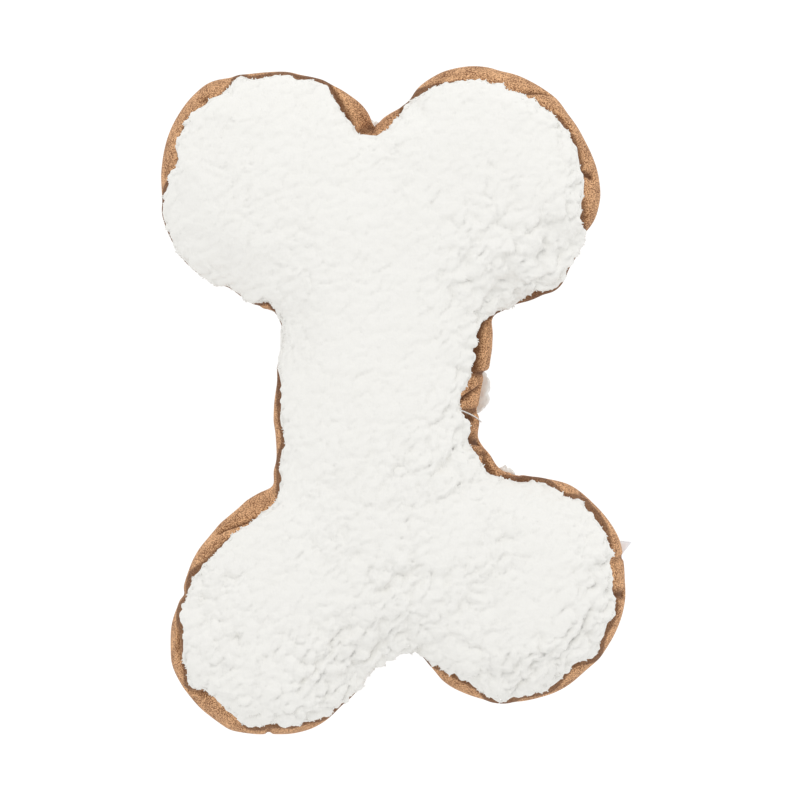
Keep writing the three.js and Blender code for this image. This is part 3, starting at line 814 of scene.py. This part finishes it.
def spun_thread(paint):
    """White thread with the shade of its twist."""
    place = paint.node("ShaderNodeTexCoord", {}, {}, "Object")
    twist = paint.node(
        "ShaderNodeTexWave",
        {"bands_direction": "DIAGONAL"},
        {"Vector": place, "Scale": 900.0, "Distortion": 1.5},
        "Fac",
    )
    colour = paint.mixed(twist, THREAD_GREY, THREAD_WHITE)
    bump = paint.node("ShaderNodeBump", {}, {"Height": twist, "Strength": 0.4, "Distance": 0.1 * MM})
    return {"Base Color": colour, "Roughness": 0.6, "Sheen Weight": 0.2, "Normal": bump}


thread_finish = finish_of("spun_thread", spun_thread)


def join_line():
    """Points down the inside of the turned-in ends."""
    line = []
    step = JOIN_STITCH / STITCH_POINTS
    for level in np.arange(band_low.z + JOIN_MARGIN, band_high.z - JOIN_MARGIN, step):
        inset = bulge_radius * (1 - math.cos(math.asin((level - band_middle) / bulge_radius)))
        wave = JOIN_WAVE * math.sin(math.tau * level / JOIN_STITCH)
        x, y = edge[0] - outward[0] * (inset + JOIN_DEPTH + wave)
        line.append((x, y, level))
    return dressed(np.array(line))


join_thread = thread_piece("join_stitches", join_line())
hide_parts("band_join_thread")
follow_squeeze(join_thread)

# Care label
# A bare satin ribbon, folded over and caught in the back seam on the lower right lobe.
# It was folded askew, so that its end slants and only one corner sticks out past the band.

LABEL_TURN = math.radians(-7)
LABEL_WIDTH = 11 * MM
LABEL_COLUMNS = 12
LABEL_ROWS = 12
LABEL_PLY = 0.25 * MM
LABEL_CAUGHT = 2.5 * MM
LABEL_SLANT = 0.62
LABEL_SHORT = 3 * MM
LABEL_LIFT = 1.2 * MM
LABEL_PUCKER = 0.35 * MM
LABEL_WAVES = 1.3
LABEL_SLIP = Vector((1.4, -2.4, 0)) * MM
FOLD_TIGHTNESS = 8

SATIN_SHADE = (0.84, 0.85, 0.89, 1)
SATIN_WHITE = (0.9, 0.91, 0.94, 1)

label_low, label_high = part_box("care_label")
label_out = Vector((math.cos(LABEL_TURN), math.sin(LABEL_TURN), 0))
label_side = Vector((-label_out.y, label_out.x, 0))
label_reach = (label_high.x - label_low.x - LABEL_WIDTH * abs(label_side.x)) / label_out.x
label_root = (label_low + label_high) / 2 + LABEL_SLIP - label_out * label_reach / 2
label_gap = (label_high.z - label_low.z) / 2 - LABEL_PLY
label_sides = np.linspace(-LABEL_WIDTH / 2, LABEL_WIDTH / 2, LABEL_COLUMNS)
label_lengths = np.maximum(LABEL_SHORT, label_reach - LABEL_SLANT * (LABEL_WIDTH / 2 - label_sides))
label_lengths += LABEL_CAUGHT


def ribbon_rows():
    """Rows of points across the ribbon, out of the seam along its lower ply, round the fold and back."""
    ways = [(share, -1) for share in np.linspace(0, 1, LABEL_ROWS)]
    ways += [(share, 1) for share in np.linspace(1, 0, LABEL_ROWS)]
    rows = []
    for share, ply in ways:
        opening = label_gap * ease(2 * share) * math.sqrt(1 - share ** FOLD_TIGHTNESS)
        row = []
        for side, length in zip(label_sides, label_lengths):
            pucker = LABEL_PUCKER * math.sin(math.tau * LABEL_WAVES * side / LABEL_WIDTH)
            rise = LABEL_PLY * ply / 2 + opening * ply + (LABEL_LIFT + pucker) * share ** 2
            out = label_out * (length * share - LABEL_CAUGHT)
            row.append(label_root + out + label_side * side + Vector((0, 0, rise)))
        rows.append(row)
    return rows


def satin_ribbon(paint):
    """Bare white satin with the shade of its weave."""
    place = paint.node("ShaderNodeTexCoord", {}, {}, "Object")
    weave = paint.node(
        "ShaderNodeTexWave",
        {"bands_direction": "Y"},
        {"Vector": place, "Scale": 900.0, "Distortion": 0.6},
        "Fac",
    )
    colour = paint.mixed(weave, SATIN_SHADE, SATIN_WHITE)
    bump = paint.node("ShaderNodeBump", {}, {"Height": weave, "Strength": 0.2, "Distance": 0.05 * MM})
    return {"Base Color": colour, "Roughness": 0.42, "Sheen Weight": 0.2, "Normal": bump}


label = new_piece("satin_label", woven(ribbon_rows()))
thicken(label, LABEL_PLY)
shade_round(label)
label.data.materials.append(finish_of("satin", satin_ribbon))
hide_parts("care_label")
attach(label, "back")

# Front panel
# The same sherpa panel as the back, on top of the stuffing, where its pile shows its clumps and partings.
# It is sewn to the band's front edge and goes down with the front when the toy is squeezed.

TUFTS = 700
TUFT_LENGTH = (0.5 * MM, 1.2 * MM)
TUFT_WIDTH = 0.35 * MM
TUFT_TIP = TUFT_WIDTH / 3
TUFT_SIDES = 4
TUFT_SCATTER = 0.8
TUFT_SINK = 0.35
TUFT_SLOPE = 0.45
TUFT_REACH = RIM_REACH / 2
TUFT_SEED = 7


def rim_tufts(panel):
    """A bmesh of small pointed tufts of pile, scattered over the rim of a panel."""
    rng = random.Random(TUFT_SEED)
    points = points_of(panel.data)
    normals = points_of(panel.data, "normal")
    inset = on_pattern(points)[1]
    rim = np.flatnonzero((np.abs(normals[:, 2]) < TUFT_SLOPE) & (inset < TUFT_REACH))
    shape = bmesh.new()
    for index in rng.sample(list(rim), TUFTS):
        length = rng.uniform(*TUFT_LENGTH)
        scatter = Vector(rng.uniform(-TUFT_SCATTER, TUFT_SCATTER) for _ in range(3))
        way = (Vector(normals[index]) + scatter).normalized()
        place = Vector(points[index]) + way * length * (0.5 - TUFT_SINK)
        bmesh.ops.create_cone(
            shape,
            cap_ends=True,
            segments=TUFT_SIDES,
            radius1=TUFT_WIDTH,
            radius2=TUFT_TIP,
            depth=length,
            matrix=Matrix.Translation(place) @ way.to_track_quat("Z", "Y").to_matrix().to_4x4(),
        )
    return shape


front_sherpa = sherpa_panel("front_sherpa", "front_panel", 1, np.zeros(len(edge)))
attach(front_sherpa, "front")

front_tufts = new_piece("front_tufts", rim_tufts(front_sherpa))
front_tufts.data.materials.append(sherpa)
shade_round(front_tufts)
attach(front_tufts, "front")

# Seam threads
# Lock stitches through the turned-in edges, all the way round, that hold the band to the two panels.
# They lie inside the toy, half-way across the seam allowance.

STITCH = 3.2 * MM
STITCH_WAVE = 0.2 * MM


def seam_line(node):
    """Points round a seam, rising and dipping with each stitch."""
    low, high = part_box(node)
    count = round(along[-1] / STITCH) * STITCH_POINTS
    distances = np.linspace(0, along[-1], count)
    line = edge - outward * (BAND_BULGE + SEAM_ALLOWANCE / 2)
    x, y = (np.interp(distances, along, line[:, axis]) for axis in (0, 1))
    wave = STITCH_WAVE * np.sin(math.tau * distances / STITCH)
    return dressed(np.stack([x, y, (low.z + high.z) / 2 + wave], axis=1))


for body in ("back", "front"):
    seam_node = f"{body}_seam_thread"
    seam_thread = thread_piece(f"{body}_lock_stitches", seam_line(seam_node), cyclic=True)
    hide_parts(seam_node)
    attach(seam_thread, body)

# Stuffing
# Loose white polyester fibrefill, pushed in by hand as ten wads: the shaft and four lobes, back and front.
# Each wad is lumpy, and gives way where the band is creased.

WAD_VOXEL = 3.6 * MM
WAD_ROOM = 0.5 * MM
WAD_LUMP_SIZE = 11 * MM
WAD_LUMP = 1.6 * MM
WAD_TUFT_SIZE = 4.5 * MM
WAD_TUFT = 0.7 * MM
WAD_GIVE = 14 * MM

FILL_SHADE = (0.70, 0.70, 0.71, 1)
FILL_WHITE = (0.88, 0.88, 0.88, 1)
TUFT_SHADE = 0.3


def lumpy(points, size):
    """How high lumps of a size stand at points, from 0 to 1."""
    return np.array([0.5 + 0.5 * noise.noise(Vector(p) / size) for p in points])


def loose_fill(piece):
    """Makes a wad lumpy, inside the space that its cover leaves it."""
    mesh = piece.data
    points = points_of(mesh)
    at, inset = on_pattern(points)
    height = bulge_radius * np.arcsin(np.clip((points[:, 2] - band_middle) / bulge_radius, -1, 1))
    depth, _ = creased(along[at], height)
    points = dressed(points)
    points[:, :2] -= outward[at] * (depth * ease((WAD_GIVE - inset) / WAD_GIVE))[:, None]
    room = WAD_ROOM + WAD_LUMP * lumpy(points, WAD_LUMP_SIZE) + WAD_TUFT * lumpy(points, WAD_TUFT_SIZE)
    points -= points_of(mesh, "normal") * room[:, None]
    place_points(mesh, points)


def fibre_fill(paint):
    """White fibres, tangled and drawn into tufts."""
    place = paint.node("ShaderNodeTexCoord", {}, {}, "Object")
    strands = paint.node(
        "ShaderNodeTexNoise", {}, {"Vector": place, "Scale": 420.0, "Detail": 5.0, "Distortion": 2.5}
    )
    tufts = paint.node("ShaderNodeTexVoronoi", {}, {"Vector": place, "Scale": 130.0})
    colour = paint.mixed(strands + TUFT_SHADE * tufts, FILL_SHADE, FILL_WHITE)
    bump = paint.node("ShaderNodeBump", {}, {"Height": strands, "Strength": 0.6, "Distance": 0.6 * MM})
    return {"Base Color": colour, "Roughness": 0.85, "Sheen Weight": 0.3, "Normal": bump}


fibrefill = finish_of("fibrefill", fibre_fill)
for wad_node in sorted(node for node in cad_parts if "_wad_" in node):
    wad = new_piece(wad_node.replace("_wad_", "_fill_"), welded(wad_node))
    remesh(wad, WAD_VOXEL)
    loose_fill(wad)
    shade_round(wad)
    wad.data.materials.append(fibrefill)
    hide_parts(wad_node)
    follow_squeeze(wad)

# Squeaker bellows
# A soft blown polythene bellows with two folds, in a pocket in the middle of the stuffing.
# Its neck points at the back and takes the reed unit.

BELLOWS_SUBDIVISIONS = 1
QUAD_ANGLE = math.radians(60)

MILKY_SHADE = (0.74, 0.76, 0.77, 1)
MILKY_WHITE = (0.84, 0.85, 0.85, 1)


def polythene_skin(paint):
    """Milky plastic, uneven from blowing."""
    place = paint.node("ShaderNodeTexCoord", {}, {}, "Object")
    flow = paint.node("ShaderNodeTexNoise", {}, {"Vector": place, "Scale": 70.0, "Detail": 2.0})
    grain = paint.node("ShaderNodeTexNoise", {}, {"Vector": place, "Scale": 1200.0, "Detail": 1.0})
    colour = paint.mixed(flow, MILKY_SHADE, MILKY_WHITE)
    bump = paint.node("ShaderNodeBump", {}, {"Height": grain, "Strength": 0.15, "Distance": 0.1 * MM})
    return {
        "Base Color": colour,
        "Roughness": 0.32 + 0.15 * flow,
        "Subsurface Weight": 0.2,
        "Normal": bump,
    }


bellows_shape = welded("squeaker_bellows")
bmesh.ops.join_triangles(
    bellows_shape,
    faces=bellows_shape.faces,
    angle_face_threshold=QUAD_ANGLE,
    angle_shape_threshold=QUAD_ANGLE,
)
bellows = new_piece("blown_bellows", bellows_shape)
subdivide(bellows, BELLOWS_SUBDIVISIONS)
shade_round(bellows)
bellows.data.materials.append(finish_of("polythene", polythene_skin))
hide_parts("squeaker_bellows")
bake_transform(bellows)

# Reed unit
# A moulded sleeve pressed into the bellows' neck, with a trough and a wedge that clamp the reed's foot.
# The reed is a strip of thin film, and air past its free end makes the squeak.

IVORY_SHADE = (0.78, 0.78, 0.75, 1)
IVORY = (0.86, 0.86, 0.84, 1)
FILM_AMBER = (0.70, 0.62, 0.45, 1)
FILM_PALE = (0.78, 0.71, 0.55, 1)


def moulded_plastic(paint):
    """Ivory plastic with the flow of its moulding."""
    place = paint.node("ShaderNodeTexCoord", {}, {}, "Object")
    grain = paint.node("ShaderNodeTexNoise", {}, {"Vector": place, "Scale": 900.0, "Detail": 2.0})
    flow = paint.node("ShaderNodeTexNoise", {}, {"Vector": place, "Scale": 120.0, "Detail": 1.0})
    colour = paint.mixed(flow, IVORY_SHADE, IVORY)
    bump = paint.node("ShaderNodeBump", {}, {"Height": grain, "Strength": 0.2, "Distance": 0.05 * MM})
    return {"Base Color": colour, "Roughness": 0.28 + 0.15 * grain, "Normal": bump}


def reed_film(paint):
    """Glossy film, streaked along the way it was drawn."""
    place = paint.node("ShaderNodeTexCoord", {}, {}, "Object")
    drawn = paint.node(
        "ShaderNodeTexWave",
        {"bands_direction": "Y"},
        {"Vector": place, "Scale": 700.0, "Distortion": 2.0},
        "Fac",
    )
    return {"Base Color": paint.mixed(drawn, FILM_AMBER, FILM_PALE), "Roughness": 0.18 + 0.12 * drawn}


hard_plastic = finish_of("hard_plastic", moulded_plastic)
for reed_node, finish in (
    ("reed_sleeve", hard_plastic),
    ("reed_trough", hard_plastic),
    ("reed_wedge", hard_plastic),
    ("reed_strip", finish_of("reed_film", reed_film)),
):
    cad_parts[reed_node].material_slots[0].material = finish

# Closing stitch
# White thread sewn by hand over the hole in the right side of the shaft, once the toy was stuffed.
# Most of it is lost under the pile, and one slack strand crosses the band.

# Places on the band are a distance along it and a height over its widest line.
CLOSING_START = 604 * MM
CLOSING_END = 627 * MM
CLOSING_STITCHES = 7
CLOSING_LOW = 15.5 * MM
CLOSING_HIGH = 19 * MM
STITCH_STEPS = 12
STITCH_SUNK = 2 * MM
STRAND_HEAD = (615.5 * MM, 18 * MM)
STRAND_FOOT = (610.3 * MM, 3 * MM)
STRAND_LIFT = 0.7 * MM
STRAND_SLACK = 1.2 * MM

band_heights = band_rows()[:, 2]


def on_band(distance, height, rise=THREAD / 2):
    """The point at a place on the band, raised over its face by a thread or sunk under it."""
    row, row_share = divmod(np.interp(height, band_heights, np.arange(len(band_heights))), 1)
    place, place_share = divmod(np.interp(distance, band_distances, np.arange(len(band_distances))), 1)
    rows = slice(int(row), int(row) + 2)
    places = slice(int(place), int(place) + 2)
    low, high = np.moveaxis(band_face[rows, places] + band_normals[rows, places] * rise, 1, 0)
    start, end = low + (high - low) * place_share
    return start + (end - start) * row_share


def closing_line():
    """Points of the stitches along the seam, of the thread back inside it, and of the strand it ends in."""
    places = []
    for turn in range(2 * CLOSING_STITCHES + 1):
        share = turn / (2 * CLOSING_STITCHES)
        height = CLOSING_LOW if turn % 2 else CLOSING_HIGH
        places.append((CLOSING_END + (CLOSING_START - CLOSING_END) * share, height))
    line = []
    for (start, low), (end, high) in zip(places, places[1:]):
        for share in np.linspace(0, 1, STITCH_STEPS, endpoint=False):
            line.append(on_band(start + (end - start) * share, low + (high - low) * share))
    for distance in np.linspace(CLOSING_START, STRAND_HEAD[0], STITCH_STEPS):
        line.append(on_band(distance, CLOSING_HIGH, -STITCH_SUNK))
    head = on_band(*STRAND_HEAD)
    foot = on_band(*STRAND_FOOT, STRAND_LIFT)
    for share in np.linspace(0, 1, STITCH_STEPS):
        slack = STRAND_SLACK * math.sin(math.pi * share)
        line.append(head + (foot - head) * share + Vector((slack, 0, slack)))
    return np.array(line)


closing = thread_piece("closing_stitches", closing_line())
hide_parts("closing_stitch")
follow_squeeze(closing)
